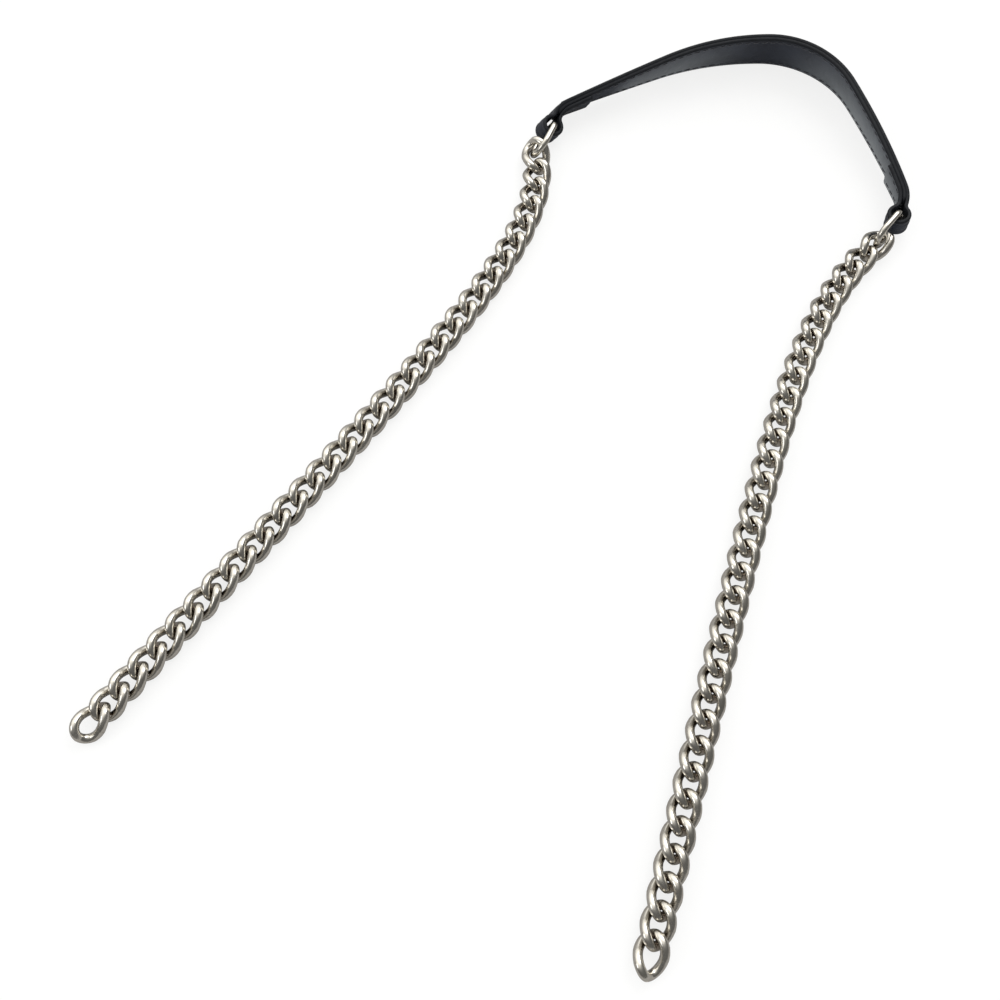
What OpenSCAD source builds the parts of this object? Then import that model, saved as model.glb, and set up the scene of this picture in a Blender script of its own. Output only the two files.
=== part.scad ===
// Chain shoulder strap: a leather band between two runs of curb chain.
// Millimetres, +Z up. The strap lies on the plane z = 0 with its band standing on edge,
// and the origin is on that plane below the middle of the band.
// Side 0 is the left run and side 1 the right. Both are worked out heading towards +X,
// and the left one is then turned over to -X.

/* [Chain] */
// Thickness of the link wire
wire_d = 3.2; // [3:0.05:3.2]
// Outer length of a link
link_len = 16; // [15.9:0.05:16]
// Width of the chain across its links
chain_width = 11.6; // [11.5:0.05:11.8]

/* [Shoulder band] */
// Width of the leather band at its middle
band_width = 22; // [18:1:24]
// Width of the leather band where it holds its rings
band_end_width = 8; // [7:0.5:8]
// Thickness of one layer of leather
leather_t = 1.4; // [1.2:0.1:1.4]

/* [Rings] */
// Wire thickness of the two rings that carry the band
ring_wire_d = 2.5; // [2.3:0.05:2.5]

/* [Hidden] */
$fn = 48;

LEFT = 0;
RIGHT = 1;
SIDES = [LEFT, RIGHT];
SIDE_NAMES = ["left", "right"];
MIRROR_X = [-1, 1];

// Chain: most links have a node each, and the rest go in pairs
link_count = 32;
single_links = 22;
apex_reach = (link_len - wire_d) / 2;
flank_reach = (chain_width - wire_d) / 2;
apex_tilt = -60;
flank_tilt = -40;
apex_share = 2;
link_lie = 3.82;
// Short collars, a little thicker than the wire, join the arcs of a link
collar_len = 0.5;
collar_extra = 0.05;
joint_gap = 0.05;

// Each run starts at its swing off the heading it settles to, and the left one lies slacker
link_pitch = [8.95, 9.01];
far_heading = [-51, -106.3];
swing = [-46.6, -33.6];
settle_links = [3.6, 4.53];

// The first link rides up on the bow of its ring
first_lift = [0.94, 0.9];
first_tilt = [12.9, 5.9];
first_roll = [1, -10.5];

// Ring between the band and the chain
ring_len = 13.7;
ring_height = 11;
ring_corner_r = 2.6;
bow_centre = ring_len - ring_height / 2;
ring_turn = [3, -20];

// Band: arcs from its middle to the neck of each end loop, as [length, turn]
band_arcs = [
    [[44, -22.6], [43, 0], [8, -46]],
    [[43, -67], [47.9, -6.8], [8, -38]],
];
band_lean_mid = -17;
band_lean_end = [-28, -6];
arc_step = 2;
loop_inner_r = 3.2;
neck_r = 3;
flap_len = 18;
layer_gap = 0.03;
// The lining is pared a little thinner than the room that it lies in
lining_t = leather_t - 0.12;
edge_bevel = 0.35;
lining_inset = 0.6;
neck_gap = 1;

// Thread
stitch_d = 0.5;
stitch_len = 2.2;
stitch_pitch = 3.6;
stitch_margin = 2.2;

// Two-digit number for a node name
function pad2(i) = i < 10 ? str("0", i) : str(i);

// A group is what one node holds: one link for the first single_links of a run, then two links each
function group_count() = single_links + (link_count - single_links) / 2;
function first_of_group(g) = g < single_links ? g : single_links + 2 * (g - single_links);
function size_of_group(g) = g < single_links ? 1 : 2;
function link_node(side, g) = str("links_", SIDE_NAMES[side], "_", pad2(g + 1));

// ---- Directions and places ----

function unit(v) = v / norm(v);
function heading_dir(a) = [cos(a), sin(a), 0];
function over(side, p) = [MIRROR_X[side] * p.x, p.y, p.z];
function turned(side, a) = side == RIGHT ? a : 180 - a;
function sum(list, n) = n == 0 ? 0 : list[n - 1] + sum(list, n - 1);

// Point reached after following arcs for a length s, and the heading there
function arc_end(p, a, len, turn) =
    abs(turn) < 0.001
    ? p + len * heading_dir(a)
    : p + len / turn * (180 / PI) * [sin(a + turn) - sin(a), cos(a) - cos(a + turn), 0];
function follow(arcs, s, i = 0, p = [0, 0, 0], a = 0) =
    let (len = arcs[i][0], turn = arcs[i][1], last = i == len(arcs) - 1)
    s <= len || last
    ? [arc_end(p, a, s, turn * s / len), a + turn * s / len]
    : follow(arcs, s - len, i + 1, arc_end(p, a, len, turn), a + turn);

function band_length(side) = sum([for (arc = band_arcs[side]) arc[0]], len(band_arcs[side]));

// ---- Leather band ----

// How far the band has changed from its middle to its neck, from 0 to 1
function band_change(side, s) = pow(s / band_length(side), 2);
function band_width_at(side, s) =
    band_width + (band_end_width - band_width) * band_change(side, s);
function band_lean_at(side, s) =
    band_lean_mid + (band_lean_end[side] - band_lean_mid) * band_change(side, s);

// The rings stand on the floor and set the height of the band's ends
function ring_lie(side) =
    ring_height / 2 * cos(band_lean_end[side]) + ring_wire_d / 2 + layer_gap
    + bow_centre * sin(band_lean_end[side]) * sin(ring_turn[side]);
band_lie_mid =
    band_width / 2 * cos(band_lean_mid) - 1.5 * leather_t * sin(band_lean_mid) + layer_gap;
function band_lie_at(side, s) =
    let (band_lie_end = ring_lie(side) + sin(band_lean_end[side]) * fold_off)
    band_lie_mid + (band_lie_end - band_lie_mid) * band_change(side, s);

// A place on the band: [point, direction through the leather, direction across it, width]
function band_place(side, s, off, inset) =
    let (
        on_arc = follow(band_arcs[side], s),
        lean = band_lean_at(side, s),
        out = heading_dir(on_arc[1] + 90),
        through = out * cos(lean) - [0, 0, sin(lean)],
        across = out * sin(lean) + [0, 0, cos(lean)],
        middle = on_arc[0] + [0, 0, band_lie_at(side, s)]
    )
    [middle + off * through, through, across, band_width_at(side, s) - 2 * inset];

// Where the band is folded, its two thicknesses part and run round the loop
fold_half = leather_t + layer_gap;
fold_off = -(leather_t + layer_gap) / 2;
loop_r = loop_inner_r + leather_t / 2;
neck_back = sqrt(pow(loop_r + neck_r, 2) - pow(fold_half + neck_r, 2));
neck_turn = asin(neck_back / (loop_r + neck_r));

// Plan of half the loop, from the neck round to the front, as [along, out, facing angle]
function loop_half(steps) = concat(
    [for (i = [1 : steps])
        let (a = neck_turn * i / steps)
        [neck_r * sin(a) - neck_back, fold_half + neck_r * (1 - cos(a)), 90 + a]],
    [for (i = [1 : steps + 3])
        let (a = (90 + neck_turn) * (1 - i / (steps + 3)))
        [loop_r * cos(a), loop_r * sin(a), a]]
);
function loop_plan() =
    let (half = loop_half(5), n = len(half))
    concat(half, [for (i = [n - 2 : -1 : 0]) [half[i][0], -half[i][1], -half[i][2]]]);

// The loop runs straight on from the neck of the band: [centre, along, through, across]
function loop_frame(side) =
    let (
        neck = band_place(side, band_length(side), fold_off, 0),
        along = cross(neck[1], neck[2])
    )
    [neck[0] + neck_back * along, along, neck[1], neck[2]];
function loop_place(side, at) =
    let (frame = loop_frame(side))
    [frame[0] + at[0] * frame[1] + at[1] * frame[2],
        cos(at[2]) * frame[1] + sin(at[2]) * frame[2], frame[3], band_end_width];

outer_off = (leather_t + layer_gap) / 2;
flap_off = fold_off - fold_half;
lining_off = -outer_off;

// Both layers share these lengths along the band, so that their facets stay parallel
function band_steps(side) =
    let (n = ceil(band_length(side) / arc_step)) [for (i = [0 : n]) band_length(side) * i / n];
function backwards(list) = [for (i = [len(list) - 1 : -1 : 0]) list[i]];

// One side of the outer layer, from the middle of the band to the tip of its folded flap
function outer_places(side) = concat(
    [for (s = band_steps(side)) band_place(side, s, outer_off, 0)],
    [for (at = loop_plan()) loop_place(side, at)],
    [for (s = backwards(band_steps(side))) if (s >= band_length(side) - flap_len)
        let (place = band_place(side, s, flap_off, 0))
        [place[0], -place[1], place[2], place[3]]]
);
function lining_places(side) =
    [for (s = band_steps(side)) if (s <= band_length(side) - neck_gap)
        band_place(side, s, lining_off, lining_inset)];

// Both sides in one list, from the left end to the right, with the shared middle kept once
function both_sides(left, right) = concat(
    [for (i = [len(left) - 1 : -1 : 1]) let (place = left[i])
        [over(LEFT, place[0]), over(LEFT, place[1]), over(LEFT, place[2]), place[3]]],
    right
);

// Section of a layer, bevelled at its four edges
function section_points(place, thickness) =
    let (w = place[3] / 2, t = thickness / 2, b = edge_bevel)
    [for (c = [[w - b, t], [w, t - b], [w, b - t], [w - b, -t],
            [b - w, -t], [-w, b - t], [-w, t - b], [b - w, t]])
        place[0] + c[0] * place[2] + c[1] * place[1]];

// Solid strip through a list of places
module strip(places, thickness) {
    around = 8;
    last = len(places) - 1;
    sides = [for (i = [0 : last - 1], k = [0 : around - 1])
        let (a = i * around + k, b = i * around + (k + 1) % around)
        [a, a + around, b + around, b]];
    start_cap = [for (k = [0 : around - 1]) k];
    end_cap = [for (k = [around - 1 : -1 : 0]) last * around + k];
    polyhedron(
        points = [for (place = places) each section_points(place, thickness)],
        faces = concat(sides, [start_cap, end_cap])
    );
}

module band_outer() {
    color("dimgray") strip(both_sides(outer_places(LEFT), outer_places(RIGHT)), leather_t);
}

module band_lining() {
    color("slategray") strip(both_sides(lining_places(LEFT), lining_places(RIGHT)), lining_t);
}

// ---- Thread ----

// Rows of stitches lie on the lining along both edges of the band, clear of the folded flaps
module stitching() {
    off = lining_off - leather_t / 2 - stitch_d / 2 - layer_gap;
    color("black")
    for (side = SIDES) {
        room = band_length(side) - flap_len - stitch_len;
        for (s = [stitch_pitch / 2 : stitch_pitch : room], edge = [-1, 1]) {
            place = band_place(side, s, off, stitch_margin);
            at = place[0] + edge * place[3] / 2 * place[2];
            along = over(side, cross(place[1], place[2]));
            rod(over(side, at), along, stitch_d, stitch_len);
        }
    }
}

// ---- Wire ----

module place_frame(at, x_dir, y_dir, z_dir) {
    multmatrix([
        [x_dir.x, y_dir.x, z_dir.x, at.x],
        [x_dir.y, y_dir.y, z_dir.y, at.y],
        [x_dir.z, y_dir.z, z_dir.z, at.z],
    ]) children();
}

// Wire bent to the arc that leaves one point along a direction and reaches another
module wire_arc(from, along, to, d) {
    chord = to - from;
    half_bend = acos(along * unit(chord));
    normal = unit(cross(along, chord));
    inward = cross(normal, along);
    radius = norm(chord) / 2 / sin(half_bend);
    gap = joint_gap / radius * 180 / PI;
    place_frame(from + radius * inward, -inward, along, normal)
        rotate([0, 0, gap])
        rotate_extrude(angle = 2 * (half_bend - gap))
        translate([radius, 0])
        circle(d = d);
}

// Straight rod with its middle at a point
module rod(at, along, d, len) {
    aside = unit(cross(along, [-along.y, along.z, along.x]));
    place_frame(at, aside, cross(along, aside), along)
        cylinder(d = d, h = len, center = true);
}

module collar(at, along, d) {
    rod(at, along, d + collar_extra, collar_len);
}

// ---- Curb link ----

// A quarter of the link bends from its apex to its flank in two arcs, the rounder one first
apex = [apex_reach, 0, 0];
apex_dir = [0, cos(apex_tilt), sin(apex_tilt)];
flank = [0, flank_reach, 0];
flank_dir = [-cos(flank_tilt), 0, -sin(flank_tilt)];

function flank_reach_in(chord, t0, t1) =
    let (b = chord * (apex_share * t0 + t1), k = 2 * apex_share * (1 - t0 * t1))
    (sqrt(b * b + k * chord * chord) - b) / k;
flank_lead = flank_reach_in(flank - apex, apex_dir, flank_dir);
apex_lead = apex_share * flank_lead;
quarter_in = apex + apex_lead * apex_dir;
quarter_out = flank - flank_lead * flank_dir;

module quarter_link() {
    middle_dir = unit(quarter_out - quarter_in);
    middle = quarter_in + apex_lead * middle_dir;
    wire_arc(apex, apex_dir, middle, wire_d);
    collar(middle, middle_dir, wire_d);
    wire_arc(middle, middle_dir, flank, wire_d);
}

// The link lies along X and is the same after half a turn about X, Y or Z
module curb_link() {
    for (turn = [[0, 0, 0], [180, 0, 0], [0, 180, 0], [0, 0, 180]])
        rotate(turn) quarter_link();
    for (end = [0, 180]) {
        rotate([0, end, 0]) collar(apex, apex_dir, wire_d);
        rotate([end, 0, 0]) collar(flank, flank_dir, wire_d);
    }
}

// ---- Runs of chain ----

function link_heading(side, i) =
    far_heading[side] + swing[side] * exp(-i / settle_links[side]);

// The ring is turned in the loop: [middle of its bar, along, out, across]
function ring_frame(side) =
    let (frame = loop_frame(side), c = cos(ring_turn[side]), s = sin(ring_turn[side]))
    [frame[0], c * frame[1] + s * frame[2], c * frame[2] - s * frame[1], frame[3]];
function first_link(side) =
    let (frame = ring_frame(side))
    frame[0] + ring_len * frame[1];
function link_centre(side, i) =
    i == 0
    ? [first_link(side).x, first_link(side).y, link_lie]
    : link_centre(side, i - 1)
        + link_pitch[side] / 2
            * (heading_dir(link_heading(side, i - 1)) + heading_dir(link_heading(side, i)));

module at_link(side, i) {
    translate(over(side, link_centre(side, i)))
        rotate([0, 0, turned(side, link_heading(side, i))])
        children();
}

module links(side, g) {
    color("silver")
    for (i = [first_of_group(g) : first_of_group(g) + size_of_group(g) - 1])
        at_link(side, i)
        if (i == 0)
            translate([0, 0, first_lift[side]])
                rotate([first_roll[side], first_tilt[side], 0])
                curb_link();
        else
            curb_link();
}

// ---- Rings ----

// The ring stands on edge: a straight bar inside the leather loop, a round bow in the chain
module band_ring(side) {
    frame = ring_frame(side);
    turned_up = MIRROR_X[side];
    color("silver")
    place_frame(
        over(side, frame[0]), over(side, frame[1]),
        turned_up * over(side, frame[3]), -over(side, frame[2])
    ) ring();
}

// The ring's outline lies in the XY plane, with its bar on Y and its bow towards +X
module ring() {
    r = ring_height / 2;
    c = ring_corner_r;
    d = ring_wire_d;
    rod([0, 0, 0], [0, 1, 0], d, 2 * (r - c - joint_gap));
    wire_arc([bow_centre, -r, 0], [1, 0, 0], [ring_len, 0, 0], d);
    wire_arc([ring_len, 0, 0], [0, 1, 0], [bow_centre, r, 0], d);
    collar([ring_len, 0, 0], [0, 1, 0], d);
    for (up = [-1, 1]) {
        wire_arc([0, up * (r - c), 0], [0, up, 0], [c, up * r, 0], d);
        rod([(c + bow_centre) / 2, up * r, 0], [1, 0, 0], d, bow_centre - c - 2 * joint_gap);
        collar([0, up * (r - c), 0], [0, 1, 0], d);
        collar([c, up * r, 0], [1, 0, 0], d);
        collar([bow_centre, up * r, 0], [1, 0, 0], d);
    }
}

band_outer();
band_lining();
stitching();
for (side = SIDES) {
    band_ring(side);
    for (g = [0 : group_count() - 1])
        links(side, g);
}
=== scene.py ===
# Chain shoulder strap: a stitched leather band that holds a ring in a loop at each end,
# and a run of polished curb chain from each ring. Lengths are in metres, angles in degrees.
import math
from collections import namedtuple

import bmesh
import bpy
import numpy as np
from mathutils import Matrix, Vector, noise


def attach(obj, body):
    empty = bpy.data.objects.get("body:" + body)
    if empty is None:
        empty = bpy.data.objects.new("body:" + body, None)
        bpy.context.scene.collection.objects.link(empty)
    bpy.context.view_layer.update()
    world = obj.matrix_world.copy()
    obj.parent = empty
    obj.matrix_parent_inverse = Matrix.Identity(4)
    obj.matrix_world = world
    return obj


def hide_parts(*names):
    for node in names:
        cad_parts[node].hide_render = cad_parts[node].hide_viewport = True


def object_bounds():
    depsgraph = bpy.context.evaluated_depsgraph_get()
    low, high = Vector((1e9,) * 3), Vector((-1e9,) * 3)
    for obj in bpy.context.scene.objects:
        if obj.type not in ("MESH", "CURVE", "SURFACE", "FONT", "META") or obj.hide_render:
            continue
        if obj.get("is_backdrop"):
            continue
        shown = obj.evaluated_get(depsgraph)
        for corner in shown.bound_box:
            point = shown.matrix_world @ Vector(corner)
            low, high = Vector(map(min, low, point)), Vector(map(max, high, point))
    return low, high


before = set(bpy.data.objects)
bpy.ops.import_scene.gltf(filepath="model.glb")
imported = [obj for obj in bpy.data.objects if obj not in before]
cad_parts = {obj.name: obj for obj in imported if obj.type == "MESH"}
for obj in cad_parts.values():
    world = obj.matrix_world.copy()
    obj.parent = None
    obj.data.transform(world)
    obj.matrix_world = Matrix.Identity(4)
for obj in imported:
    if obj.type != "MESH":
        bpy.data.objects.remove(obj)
cad_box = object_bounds()

MM = 0.001

# ---- Shape of the band ----

# These are the sizes of the CAD source, except that the lining here reaches 0.5 mm nearer the
# edges and is as thick as the outer leather, where the CAD lining is 0.12 mm thinner.

SIDES = ("left", "right")
MIRROR_X = {"left": -1, "right": 1}

# Arcs from the middle of the band to its neck, as (length, turn)
BAND_ARCS = {
    "left": [(44 * MM, -22.6), (43 * MM, 0), (8 * MM, -46)],
    "right": [(43 * MM, -67), (47.9 * MM, -6.8), (8 * MM, -38)],
}
BAND_LENGTH = {side: sum(length for length, _ in BAND_ARCS[side]) for side in SIDES}
BAND_WIDTH = 22 * MM
BAND_END_WIDTH = 8 * MM
LEAN_MIDDLE = -17
LEAN_END = {"left": -28, "right": -6}
LEATHER = 1.4 * MM
LAYER_GAP = 0.03 * MM
LOOP_INNER_R = 3.2 * MM
NECK_R = 3 * MM
FLAP = 18 * MM
LINING_INSET = 0.1 * MM
LINING_STOP = 1 * MM
RING_WIRE = 2.5 * MM
RING_HEIGHT = 11 * MM
RING_BOW_CENTRE = 8.2 * MM
RING_TURN = {"left": 3, "right": -20}

LAYER_OFF = (LEATHER + LAYER_GAP) / 2
FOLD_HALF = LEATHER + LAYER_GAP
LOOP_R = LOOP_INNER_R + LEATHER / 2
NECK_BACK = math.sqrt((LOOP_R + NECK_R) ** 2 - (FOLD_HALF + NECK_R) ** 2)
NECK_TURN = math.degrees(math.asin(NECK_BACK / (LOOP_R + NECK_R)))

# Where a layer of leather is and which way its grain side faces. s is the distance from the
# middle of the band, and part says whether this is the band, the loop or the folded flap.
Place = namedtuple("Place", "centre facing across half_width s side part")


def cosd(angle):
    return math.cos(math.radians(angle))


def sind(angle):
    return math.sin(math.radians(angle))


def follow(arcs, s):
    """Point and heading after a length s of the arcs. The last arc goes on past its end."""
    point, angle = np.zeros(3), 0.0
    for i, (length, turn) in enumerate(arcs):
        run = s if i == len(arcs) - 1 else min(s, length)
        bend = turn * run / length
        if abs(bend) < 1e-6:
            point += run * np.array([cosd(angle), sind(angle), 0])
        else:
            radius = run / math.radians(bend)
            end = angle + bend
            point += radius * np.array([sind(end) - sind(angle), cosd(angle) - cosd(end), 0])
        angle += bend
        s -= run
    return point, angle


def change(side, s):
    """How far the band has changed from its middle to its neck, from 0 to 1."""
    return (s / BAND_LENGTH[side]) ** 2


def lie_middle():
    """Height of the middle of the band, whose lower edge rests on the floor."""
    return (BAND_WIDTH / 2 * cosd(LEAN_MIDDLE) - 1.5 * LEATHER * sind(LEAN_MIDDLE)
            + LAYER_GAP)


def lie_end(side):
    """Height of the neck of the band, which the ring carries."""
    ring = (RING_HEIGHT / 2 * cosd(LEAN_END[side]) + RING_WIRE / 2 + LAYER_GAP
            + RING_BOW_CENTRE * sind(LEAN_END[side]) * sind(RING_TURN[side]))
    return ring - sind(LEAN_END[side]) * LAYER_OFF


def band_place(side, s, off, inset=0.0, part="band", grain=1):
    """Place on the band at a distance off through it. Grain is -1 on its inner side."""
    share = change(side, s)
    point, angle = follow(BAND_ARCS[side], s)
    lean = LEAN_MIDDLE + (LEAN_END[side] - LEAN_MIDDLE) * share
    out = np.array([cosd(angle + 90), sind(angle + 90), 0])
    up = np.array([0, 0, 1])
    through = out * cosd(lean) - up * sind(lean)
    across = out * sind(lean) + up * cosd(lean)
    lie = lie_middle() + (lie_end(side) - lie_middle()) * share
    half_width = (BAND_WIDTH + (BAND_END_WIDTH - BAND_WIDTH) * share) / 2 - inset
    return Place(point + up * lie + off * through, grain * through, across,
                 half_width, s, side, part)


def loop_plan(steps):
    """Outline of the end loop, as (along, out, direction it faces)."""
    half = []
    for i in range(1, steps + 1):
        a = NECK_TURN * i / steps
        half.append((NECK_R * sind(a) - NECK_BACK, FOLD_HALF + NECK_R * (1 - cosd(a)), 90 + a))
    for i in range(1, 2 * steps + 1):
        a = (90 + NECK_TURN) * (1 - i / (2 * steps))
        half.append((LOOP_R * cosd(a), LOOP_R * sind(a), a))
    return half + [(x, -y, -a) for x, y, a in half[-2::-1]]


def loop_places(side, steps):
    """Places round the end loop, which runs straight on from the neck of the band."""
    neck = band_place(side, BAND_LENGTH[side], -LAYER_OFF)
    along = np.cross(neck.facing, neck.across)
    centre = neck.centre + NECK_BACK * along
    return [
        Place(centre + x * along + y * neck.facing,
              cosd(a) * along + sind(a) * neck.facing,
              neck.across, neck.half_width, BAND_LENGTH[side], side, "loop")
        for x, y, a in loop_plan(steps)
    ]


def steps_between(start, end, step):
    return np.linspace(start, end, max(2, math.ceil(abs(end - start) / step) + 1))


def over(place):
    """The place turned over to its own side of the strap."""
    flip = np.array([MIRROR_X[place.side], 1, 1])
    return place._replace(centre=place.centre * flip, facing=place.facing * flip,
                          across=place.across * flip)


def both_sides(half_path):
    """One list of places from the left end of the strip to the right end."""
    left, right = ([over(place) for place in half_path(side)] for side in SIDES)
    return left[:0:-1] + right


STATION_STEP = 0.4 * MM
LOOP_STEPS = 14


def outer_half(side):
    """The outer layer from the middle of the band, round the loop, to the tip of the flap."""
    length = BAND_LENGTH[side]
    band = [band_place(side, s, LAYER_OFF) for s in steps_between(0, length, STATION_STEP)]
    flap = [band_place(side, s, -3 * LAYER_OFF, part="flap", grain=-1)
            for s in steps_between(length, length - FLAP, STATION_STEP)]
    return band + loop_places(side, LOOP_STEPS) + flap


def lining_half(side):
    return [band_place(side, s, -LAYER_OFF, LINING_INSET, grain=-1)
            for s in steps_between(0, BAND_LENGTH[side] - LINING_STOP, STATION_STEP)]


# ---- Leather layers ----

STITCH_MARGIN = 2.2 * MM
STITCH_PITCH = 3.6 * MM
STITCH_LENGTH = 2.9 * MM
GROOVE_DEPTH = 0.16 * MM
GROOVE_WIDTH = 0.5 * MM
HOLE_DEPTH = 0.22 * MM
HOLE_SIZE = 0.32 * MM
CROWN = 0.45 * MM
EDGE_R = 0.7 * MM
BACK_BEVEL = 0.08 * MM
TIP_CORNER_R = 1.6 * MM
CREASE_DEPTH = 0.09 * MM
# Shares of the way from the middle to the neck over which painted sheen greys the leather
SHEEN_SPAN = {"left": (0.0, 0.45), "right": (0.02, 0.55)}
SHEEN_GONE = {"left": (0.58, 0.74), "right": (1.0, 1.5)}
SHEEN_MOST = {"left": 0.72, "right": 1.0}

# Distances from the edge where a face of the leather has points, closest at the stitches
EDGE_STEPS = [d * MM for d in (0.8, 1.1, 1.4, 1.65, 1.85, 2.0, 2.2, 2.4, 2.55, 2.8, 3.2)]
MIDDLE_STEPS = 8
ROUND_STEPS = 7


def bell(x, width):
    return math.exp(-(x / width) ** 2)


def face_shares(half_width):
    """Distances across a face, from one edge to the other."""
    edge = [half_width - d for d in EDGE_STEPS]
    middle = np.linspace(edge[-1], -edge[-1], MIDDLE_STEPS + 1)[1:-1]
    return edge + list(middle) + [-c for c in reversed(edge)]


def section(half_width, half_thickness):
    """Closed outline of a layer as (across, through). Its grain side has round edges, and
    its other side is almost square, so that two layers make up one edge."""
    face = [(c, half_thickness) for c in face_shares(half_width)]
    right = []
    for i in range(1, ROUND_STEPS):
        a = 90 * i / (ROUND_STEPS - 1)
        right.append((half_width - EDGE_R * (1 - sind(a)), half_thickness - EDGE_R * (1 - cosd(a))))
    right.append((half_width, BACK_BEVEL - half_thickness))
    right.append((half_width - BACK_BEVEL, -half_thickness))
    left = [(-c, t) for c, t in reversed(right)]
    return face[::-1] + right + left


def stitch_line(half_width, inset):
    """Distance of each row of stitches from the middle of the band."""
    return half_width + inset - STITCH_MARGIN


def hole_share(s):
    """How near a place is to a needle hole, from 0 to 1."""
    nearest = (round(s / STITCH_PITCH - 0.5) + 0.5) * STITCH_PITCH
    return bell(abs(s - nearest) - STITCH_LENGTH / 2, HOLE_SIZE)


def crease(place, c):
    """Fine creases across the lining where the band bends."""
    x = place.centre[0] / MM
    wander = 1.6 * noise.noise(Vector((x * 0.12, c / MM * 0.22, 3.1)))
    ripple = noise.noise(Vector((place.s / MM * 0.55 + wander, c / MM * 0.06, 8.4)))
    return CREASE_DEPTH * min(0.0, ripple) * 2


def relief(place, c, inset, is_lining):
    """Height of the leather's visible face over its flat surface."""
    row = stitch_line(place.half_width, inset)
    near_row = bell(abs(c) - row, GROOVE_WIDTH)
    height = -GROOVE_DEPTH * near_row
    if place.part != "loop":
        height -= HOLE_DEPTH * hole_share(place.s) * bell(abs(c) - row, HOLE_SIZE)
    if abs(c) < row:
        height += CROWN * (1 - (c / row) ** 2) ** 1.5 * row / (BAND_WIDTH / 2)
    if is_lining:
        height += crease(place, c)
    where = Vector(place.centre / MM) * 0.16 + Vector((0, 0, c / MM * 0.2))
    return height + 0.05 * MM * noise.noise(where)


def tip_inset(distance, radius):
    """How far an outline pulls in near the end of a strip, so that its corners are round."""
    left = max(0.0, radius - distance)
    return radius - math.sqrt(max(0.0, radius ** 2 - left ** 2))


def layer_ring(place, to_tip, inset, is_lining):
    """Points round a layer at one place."""
    half_thickness = LEATHER / 2 - tip_inset(to_tip, EDGE_R) / 2
    pull = tip_inset(to_tip, TIP_CORNER_R)
    squeeze = (place.half_width - pull) / place.half_width
    points = []
    for c, t in section(place.half_width, half_thickness):
        height = relief(place, c, inset, is_lining) if t >= half_thickness * 0.99 else 0.0
        points.append(place.centre + c * squeeze * place.across + (t + height) * place.facing)
    return points


def smooth_share(value, start, end):
    """0 before start, 1 after end, and a smooth step between them."""
    t = min(1.0, max(0.0, (value - start) / (end - start)))
    return t * t * (3 - 2 * t)


def painted_sheen(place, c, is_lining):
    """How much painted sheen greys the leather: most along the lower edge, towards the ends of its
    inner side.
    """
    if not is_lining and place.part != "flap":
        return 0.0
    low = 0.5 - 0.5 * c / place.half_width
    share = place.s / BAND_LENGTH[place.side]
    towards_end = smooth_share(share, *SHEEN_SPAN[place.side])
    towards_end *= 1 - smooth_share(share, *SHEEN_GONE[place.side])
    return SHEEN_MOST[place.side] * towards_end * (0.15 + 0.85 * low)


def layer_mesh(name, path, inset, is_lining):
    """Solid layer of leather along a path, with how much painted sheen greys it from point to
    point.
    """
    lengths = [0.0]
    for before, after in zip(path, path[1:]):
        lengths.append(lengths[-1] + float(np.linalg.norm(after.centre - before.centre)))
    rings = [layer_ring(place, min(at, lengths[-1] - at), inset, is_lining)
             for place, at in zip(path, lengths)]
    mesh = swept_mesh(name, rings)
    # Strength of the painted sheen at each point: a grey that stands in for light caught at a
    # grazing angle
    values = [painted_sheen(place, c, is_lining)
              for place in path for c, _ in section(place.half_width, LEATHER / 2)]
    mesh.attributes.new("painted_sheen", "FLOAT", "POINT").data.foreach_set("value", values)
    return mesh


def swept_mesh(name, rings):
    """Closed mesh through a list of rings of points, with a cap at each end."""
    around = len(rings[0])
    faces = [
        (i * around + k, i * around + (k + 1) % around,
         (i + 1) * around + (k + 1) % around, (i + 1) * around + k)
        for i in range(len(rings) - 1) for k in range(around)
    ]
    last = (len(rings) - 1) * around
    faces += [tuple(range(around))[::-1], tuple(range(last, last + around))]
    mesh = bpy.data.meshes.new(name)
    mesh.from_pydata([tuple(p) for ring in rings for p in ring], [], faces)
    return tidy_mesh(mesh)


def tidy_mesh(mesh):
    """The mesh with its faces turned outwards and smooth."""
    bm = bmesh.new()
    bm.from_mesh(mesh)
    bmesh.ops.recalc_face_normals(bm, faces=bm.faces)
    bm.to_mesh(mesh)
    bm.free()
    mesh.shade_smooth()
    return mesh


def add_piece(name, mesh, materials, body, node, slot):
    """New object that stands for a CAD node and rides on its body."""
    piece = bpy.data.objects.new(name, mesh)
    bpy.context.scene.collection.objects.link(piece)
    for material in materials:
        mesh.materials.append(material)
    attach(piece, body)
    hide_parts(node)
    return piece


def paint_edges(mesh, around):
    """Gives the second material to the edges of a layer, which follow its face in each ring."""
    face_points = len(face_shares(1))
    for polygon in mesh.polygons:
        spots = [v % around for v in polygon.vertices]
        on_edge = all(k == 0 or k >= face_points - 1 for k in spots)
        polygon.material_index = int(on_edge or len(spots) > 4)


# ---- Thread ----

THREAD_R = 0.27 * MM
THREAD_LIFT = 0.1 * MM
THREAD_SINK = 0.5 * MM
THREAD_STEPS = 12
THREAD_AROUND = 12
PLIES = 3
PLY_RIDGE = 0.14
PLY_TWIST = 500
STITCH_SLANT = 7


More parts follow.
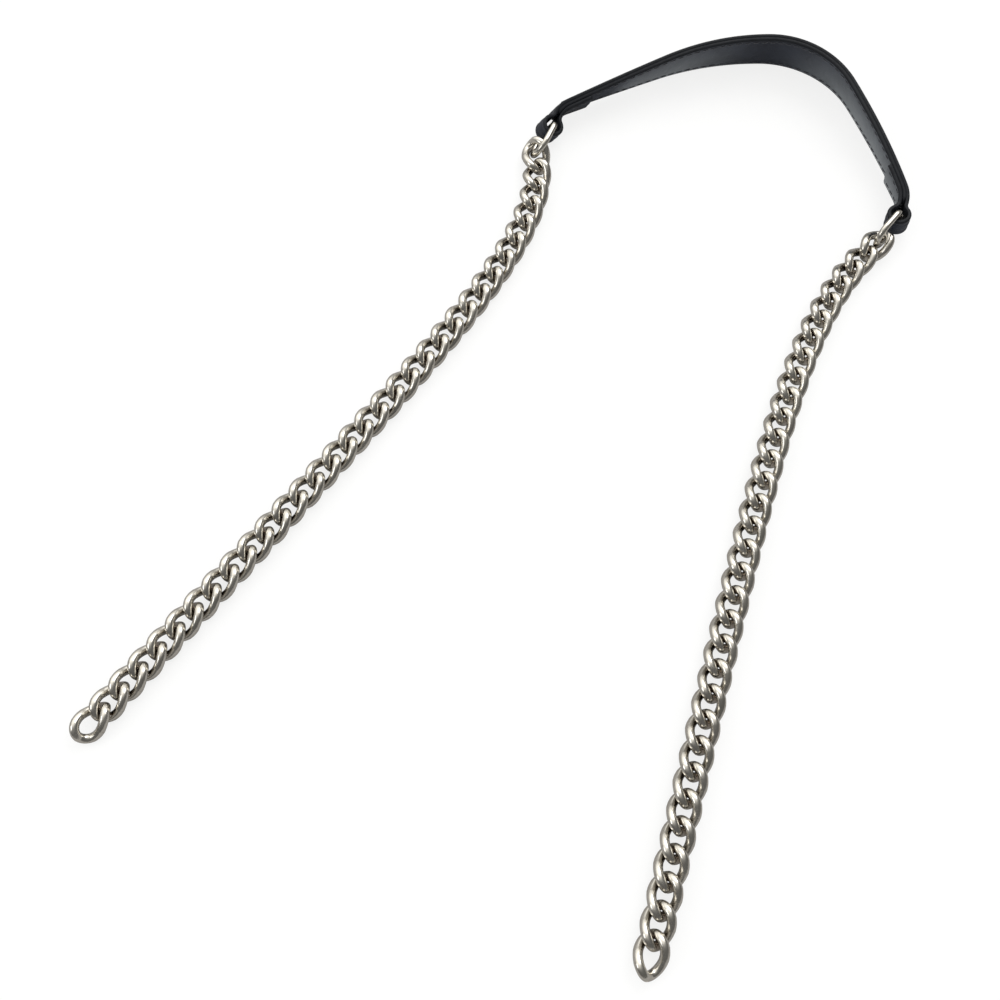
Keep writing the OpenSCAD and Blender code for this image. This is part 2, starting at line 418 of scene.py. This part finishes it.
def stitch_rings(middle, along, up):
    """One twisted stitch that rises out of its first hole and sinks into its second."""
    aside = np.cross(up, along)
    lean = along * cosd(STITCH_SLANT) + aside * sind(STITCH_SLANT)
    aside = np.cross(up, lean)
    rings = []
    for i in range(THREAD_STEPS + 1):
        t = 2 * i / THREAD_STEPS - 1
        height = THREAD_LIFT - THREAD_SINK * t ** 4
        centre = middle + lean * t * STITCH_LENGTH / 2 + up * height
        ring = []
        for k in range(THREAD_AROUND):
            a = 360 * k / THREAD_AROUND
            r = THREAD_R * (1 + PLY_RIDGE * cosd(PLIES * a + PLY_TWIST * t))
            ring.append(centre + r * (cosd(a) * aside + sind(a) * up))
        rings.append(ring)
    return rings


def stitch_places(side):
    """Places on the three stitched faces: the lining, the flap over it, and the outer layer."""
    length = BAND_LENGTH[side]
    flap_tip = length - FLAP
    s = STITCH_PITCH / 2
    while s <= length - 2 * STITCH_MARGIN:
        yield band_place(side, s, FOLD_HALF)
        if s <= flap_tip - STITCH_LENGTH / 2:
            yield band_place(side, s, -FOLD_HALF, grain=-1)
        elif s > flap_tip + STITCH_LENGTH / 2:
            yield band_place(side, s, -2 * FOLD_HALF, part="flap", grain=-1)
        s += STITCH_PITCH


def thread_mesh():
    """Every stitch of the band in one mesh."""
    verts, faces = [], []
    for side in SIDES:
        for place in stitch_places(side):
            for edge in (-1, 1):
                middle = place.centre + edge * stitch_line(place.half_width, 0) * place.across
                seat = place._replace(centre=middle - GROOVE_DEPTH * place.facing)
                seat = over(seat)
                rings = stitch_rings(seat.centre, np.cross(seat.facing, seat.across), seat.facing)
                add_tube(verts, faces, rings)
    mesh = bpy.data.meshes.new("stitch_thread")
    mesh.from_pydata(verts, [], faces)
    return tidy_mesh(mesh)


def add_tube(verts, faces, rings):
    """Adds a closed tube to lists of vertices and faces."""
    first, around = len(verts), len(rings[0])
    verts.extend(tuple(p) for ring in rings for p in ring)
    for i in range(len(rings) - 1):
        for k in range(around):
            a = first + i * around + k
            b = first + i * around + (k + 1) % around
            faces.append((a, b, b + around, a + around))
    last = first + (len(rings) - 1) * around
    faces.append(tuple(range(first, first + around))[::-1])
    faces.append(tuple(range(last, last + around)))


# ---- Materials ----


class Shader:
    """A material under construction: its nodes, its links and its main shader."""

    def __init__(self, name):
        self.material = bpy.data.materials.new(name)
        self.material.use_nodes = True
        self.tree = self.material.node_tree
        self.main = self.tree.nodes["Principled BSDF"]
        self.where = self.add("TexCoord").outputs["Object"]

    def add(self, kind, **inputs):
        """New node of a kind, with values or outputs put in its inputs."""
        node = self.tree.nodes.new("ShaderNode" + kind)
        self.put(node, **inputs)
        return node

    def put(self, node, **inputs):
        for name, value in inputs.items():
            socket = node.inputs[name.replace("_", " ")]
            if isinstance(value, bpy.types.NodeSocket):
                self.tree.links.new(value, socket)
            else:
                socket.default_value = value

    def noise(self, scale, detail=3.0, rough=0.55, where=None):
        node = self.add("TexNoise", Vector=where or self.where, Scale=scale, Detail=detail,
                        Roughness=rough)
        return node.outputs["Fac"]

    def cells(self, scale, feature="F1", where=None):
        node = self.add("TexVoronoi", Vector=where or self.where, Scale=scale)
        node.feature = feature
        return node.outputs["Distance"]

    def stretched(self, x, y, z):
        """Coordinates pulled out, for marks that run one way."""
        node = self.add("Mapping", Vector=self.where, Scale=(x, y, z))
        return node.outputs["Vector"]

    def ramp(self, value, *stops):
        """Value remade by stops of (position, colour or number)."""
        node = self.add("ValToRGB", Fac=value)
        elements = node.color_ramp.elements
        while len(elements) < len(stops):
            elements.new(0.5)
        for element, (position, colour) in zip(elements, stops):
            element.position = position
            if isinstance(colour, (int, float)):
                colour = (colour, colour, colour)
            element.color = (*colour, 1)
        return node.outputs["Color"]

    def mix(self, share, a, b):
        """Colour between a and b. A Mix node keeps its colours in sockets 6 and 7."""
        node = self.add("Mix")
        node.data_type = "RGBA"
        for socket, value in zip((node.inputs[0], node.inputs[6], node.inputs[7]), (share, a, b)):
            if isinstance(value, bpy.types.NodeSocket):
                self.tree.links.new(value, socket)
            else:
                socket.default_value = (*value, 1) if isinstance(value, tuple) else value
        return node.outputs[2]

    def maths(self, operation, a, b=0.0):
        node = self.add("Math")
        node.operation = operation
        for socket, value in zip(node.inputs, (a, b)):
            if isinstance(value, bpy.types.NodeSocket):
                self.tree.links.new(value, socket)
            else:
                socket.default_value = value
        return node.outputs[0]

    def bump(self, height, depth, strength=1.0, under=None):
        """Normal pushed in and out by a height, on top of another normal."""
        node = self.add("Bump", Height=height, Distance=depth, Strength=strength)
        if under is not None:
            self.tree.links.new(under, node.inputs["Normal"])
        return node.outputs["Normal"]


def leather(name, dark, light, rough):
    """Smooth dyed leather with a fine pebbled grain and pores, greyed in patches by painted sheen
    as far as its mesh attribute gives.
    """
    m = Shader(name)
    grain = m.cells(1500, "SMOOTH_F1")
    fine = m.cells(3600)
    patches = m.noise(70, 4)
    pores = m.ramp(m.noise(2600, 2), (0.30, 0.0), (0.42, 1.0))
    tone = m.mix(m.ramp(patches, (0.35, 0.0), (0.68, 1.0)), dark, light)
    tone = m.mix(m.ramp(grain, (0.0, 0.35), (0.55, 0.0)), tone, light)
    # Painted sheen: a grey mixed into the colour, patchy, as strong as the mesh attribute gives
    sheen_attribute = m.add("Attribute")
    sheen_attribute.attribute_name = "painted_sheen"
    sheen_share = m.maths("MULTIPLY", sheen_attribute.outputs["Fac"], m.ramp(patches, (0.2, 0.75), (0.8, 1.0)))
    tone = m.mix(sheen_share, tone, (0.29, 0.31, 0.322))
    normal = m.bump(grain, 0.10 * MM, 0.55)
    normal = m.bump(fine, 0.04 * MM, 0.4, normal)
    normal = m.bump(pores, 0.05 * MM, 0.5, normal)
    shine = m.ramp(m.noise(260, 4), (0.3, rough - 0.06), (0.7, rough + 0.08))
    m.put(m.main, Base_Color=tone, Roughness=shine, Normal=normal, IOR=1.5)
    return m.material


def edge_paint(name):
    """Glossy paint on the cut edges of the leather, laid on in slightly uneven coats."""
    m = Shader(name)
    coats = m.noise(420, 4)
    normal = m.bump(coats, 0.12 * MM, 0.5)
    tone = m.mix(coats, (0.004, 0.005, 0.007), (0.012, 0.014, 0.018))
    m.put(m.main, Base_Color=tone, Normal=normal,
          Roughness=m.ramp(m.noise(900, 3), (0.3, 0.48), (0.7, 0.62)), Specular_IOR_Level=0.25)
    return m.material


def thread(name):
    """Waxed thread with fine fibres along its plies."""
    m = Shader(name)
    fibres = m.noise(9000, 2)
    m.put(m.main, Base_Color=m.mix(fibres, (0.006, 0.007, 0.011), (0.035, 0.038, 0.048)),
          Normal=m.bump(fibres, 0.03 * MM, 0.6),
          Roughness=m.ramp(m.noise(3000, 2), (0.3, 0.45), (0.7, 0.65)))
    m.put(m.main, Sheen_Weight=0.3)
    return m.material


def nickel(name, bright, crevice_shade, rough):
    """Polished plated wire: fine scratches and cloudy wear, and painted shade, dark brown, down in
    the crevices.
    """
    m = Shader(name)
    clouds = m.noise(110, 4)
    hair = m.noise(900, 3, where=m.stretched(1, 6, 0.6))
    pits = m.ramp(m.cells(1300), (0.02, 0.0), (0.07, 1.0))
    # Painted shade: where the AO node finds the wire closed in by other wire, the colour goes to
    # the dark brown crevice colour
    occlusion_amount = m.add("AmbientOcclusion", Distance=1.6 * MM).outputs["AO"]
    unshaded_share = m.ramp(occlusion_amount, (0.25, 0.0), (0.8, 1.0))
    tone = m.mix(m.ramp(clouds, (0.3, 0.0), (0.7, 1.0)),
                 tuple(0.9 * c for c in bright), bright)
    tone = m.mix(unshaded_share, crevice_shade, tone)
    normal = m.bump(hair, 0.012 * MM, 0.5)
    normal = m.bump(pits, 0.02 * MM, 0.35, normal)
    shine = m.ramp(m.maths("ADD", clouds, m.maths("MULTIPLY", hair, 0.4)),
                   (0.45, rough - 0.05), (0.95, rough + 0.12))
    m.put(m.main, Base_Color=tone, Metallic=1.0, Roughness=shine, Normal=normal)
    return m.material


FLOOR_IN_METAL = (0.30, 0.29, 0.28)
FLOOR_GLOW = 0.8


def floor_material(name):
    """White paper that glows for the camera, so its shadows are faint, and is darker in metal."""
    m = Shader(name)
    fleck = m.noise(40, 3)
    white = m.mix(fleck, (0.955, 0.955, 0.95), (0.985, 0.985, 0.98))
    rays = m.add("LightPath")
    lit = m.mix(rays.outputs["Is Glossy Ray"], white, FLOOR_IN_METAL)
    glow = m.maths("MULTIPLY", rays.outputs["Is Camera Ray"], FLOOR_GLOW)
    m.put(m.main, Base_Color=m.mix(glow, lit, (0, 0, 0)), Roughness=0.9,
          Emission_Color=white, Emission_Strength=glow)
    return m.material


# ---- Building the strap ----


def build_leather():
    outer = leather("outer_leather", (0.009, 0.012, 0.020), (0.016, 0.021, 0.033), 0.44)
    inner = leather("lining_leather", (0.010, 0.0135, 0.023), (0.019, 0.025, 0.039), 0.5)
    paint = edge_paint("edge_paint")
    around = len(section(1, 1))
    layers = [
        ("leather_outer", both_sides(outer_half), 0.0, False, outer, "band_outer", "band_leather"),
        ("leather_lining", both_sides(lining_half), LINING_INSET, True, inner,
         "band_lining", "lining_leather"),
    ]
    for name, path, inset, is_lining, material, node, slot in layers:
        mesh = layer_mesh(name, path, inset, is_lining)
        paint_edges(mesh, around)
        add_piece(name, mesh, [material, paint], "band", node, slot)


def build_thread():
    add_piece("stitch_thread", thread_mesh(), [thread("waxed_thread")], "band",
              "stitching", "thread")


def finish_metal():
    """Puts the metal finishes on the CAD rings and links."""
    # The second colour of each finish is the painted shade in its crevices
    chain = nickel("chain_nickel", (0.83, 0.80, 0.735), (0.22, 0.17, 0.12), 0.17)
    rings = nickel("ring_nickel", (0.85, 0.82, 0.75), (0.24, 0.19, 0.13), 0.15)
    for name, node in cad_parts.items():
        if name.startswith("links_") or name.startswith("band_ring_"):
            node.data.materials.clear()
            node.data.materials.append(rings if name.startswith("band_ring_") else chain)


# ---- Studio ----

FLOOR_SIZE = 8.0
KEY_DIRECTION = (-0.30, 0.64, 0.71)
# Brightness of the surroundings against how nearly a direction faces the key light
SURROUNDINGS = ((0.0, 0.11), (0.35, 0.17), (0.62, 0.42), (0.85, 1.05), (1.0, 1.5))
SOFT_LIGHT = 1.0
LENS = 40
CAMERA_RISE = 69.86
CAMERA_DISTANCE = 404.3 * MM
LOOK_AT = Vector((-109.5 * MM, -195.1 * MM, 0))


def build_floor():
    mesh = bpy.data.meshes.new("floor")
    h = FLOOR_SIZE / 2
    mesh.from_pydata([(-h, -h, 0), (h, -h, 0), (h, h, 0), (-h, h, 0)], [], [(0, 1, 2, 3)])
    mesh.materials.append(floor_material("white_paper"))
    floor = bpy.data.objects.new("floor", mesh)
    bpy.context.scene.collection.objects.link(floor)
    floor.location.z = cad_box[0].z - 0.05 * MM
    floor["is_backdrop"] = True


def build_camera():
    data = bpy.data.cameras.new("camera")
    data.lens = LENS
    data.clip_start = 0.01
    camera = bpy.data.objects.new("camera", data)
    bpy.context.scene.collection.objects.link(camera)
    back = Vector((0, -cosd(CAMERA_RISE), sind(CAMERA_RISE)))
    camera.location = LOOK_AT + CAMERA_DISTANCE * back
    camera.rotation_euler = (-back).to_track_quat("-Z", "Y").to_euler()
    bpy.context.scene.camera = camera


def add_softbox(name, azimuth, rise, distance, size, power):
    """Square soft light that looks at the middle of the strap."""
    data = bpy.data.lights.new(name, "AREA")
    data.shape = "SQUARE"
    data.size = size
    data.energy = power
    light = bpy.data.objects.new(name, data)
    bpy.context.scene.collection.objects.link(light)
    away = Vector((sind(azimuth) * cosd(rise), -cosd(azimuth) * cosd(rise), sind(rise)))
    light.location = LOOK_AT + distance * away
    light.rotation_euler = (-away).to_track_quat("-Z", "Y").to_euler()


def build_world():
    """Even soft light, with surroundings for the metal to mirror that are brightest behind it."""
    world = bpy.data.worlds.new("studio")
    bpy.context.scene.world = world
    world.use_nodes = True
    tree = world.node_tree
    background = tree.nodes["Background"]
    direction = tree.nodes.new("ShaderNodeTexCoord").outputs["Generated"]
    dot = tree.nodes.new("ShaderNodeVectorMath")
    dot.operation = "DOT_PRODUCT"
    dot.inputs[1].default_value = KEY_DIRECTION
    ramp = tree.nodes.new("ShaderNodeValToRGB")
    while len(ramp.color_ramp.elements) < len(SURROUNDINGS):
        ramp.color_ramp.elements.new(0.5)
    for element, (position, level) in zip(ramp.color_ramp.elements, SURROUNDINGS):
        element.position = position
        element.color = (level, level * 0.98, level * 0.94, 1)
    pale = tree.nodes.new("ShaderNodeMix")
    pale.data_type = "RGBA"
    pale.inputs[6].default_value = (SOFT_LIGHT, SOFT_LIGHT, SOFT_LIGHT, 1)
    mirrored = tree.nodes.new("ShaderNodeLightPath").outputs["Is Glossy Ray"]
    tree.links.new(direction, dot.inputs[0])
    tree.links.new(dot.outputs["Value"], ramp.inputs["Fac"])
    tree.links.new(mirrored, pale.inputs[0])
    tree.links.new(ramp.outputs["Color"], pale.inputs[7])
    tree.links.new(pale.outputs[2], background.inputs["Color"])
    background.inputs["Strength"].default_value = 1.0


def build_studio():
    build_floor()
    build_camera()
    build_world()
    add_softbox("key", 155, 48, 1.3, 0.9, 5)
    add_softbox("side", -75, 35, 1.3, 0.6, 2)
    bpy.context.scene.view_settings.view_transform = "Standard"


build_leather()
build_thread()
finish_metal()
build_studio()

boxes = {"cad": cad_box, "visual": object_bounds()}
{name: [list(corner) for corner in box] for name, box in boxes.items()}
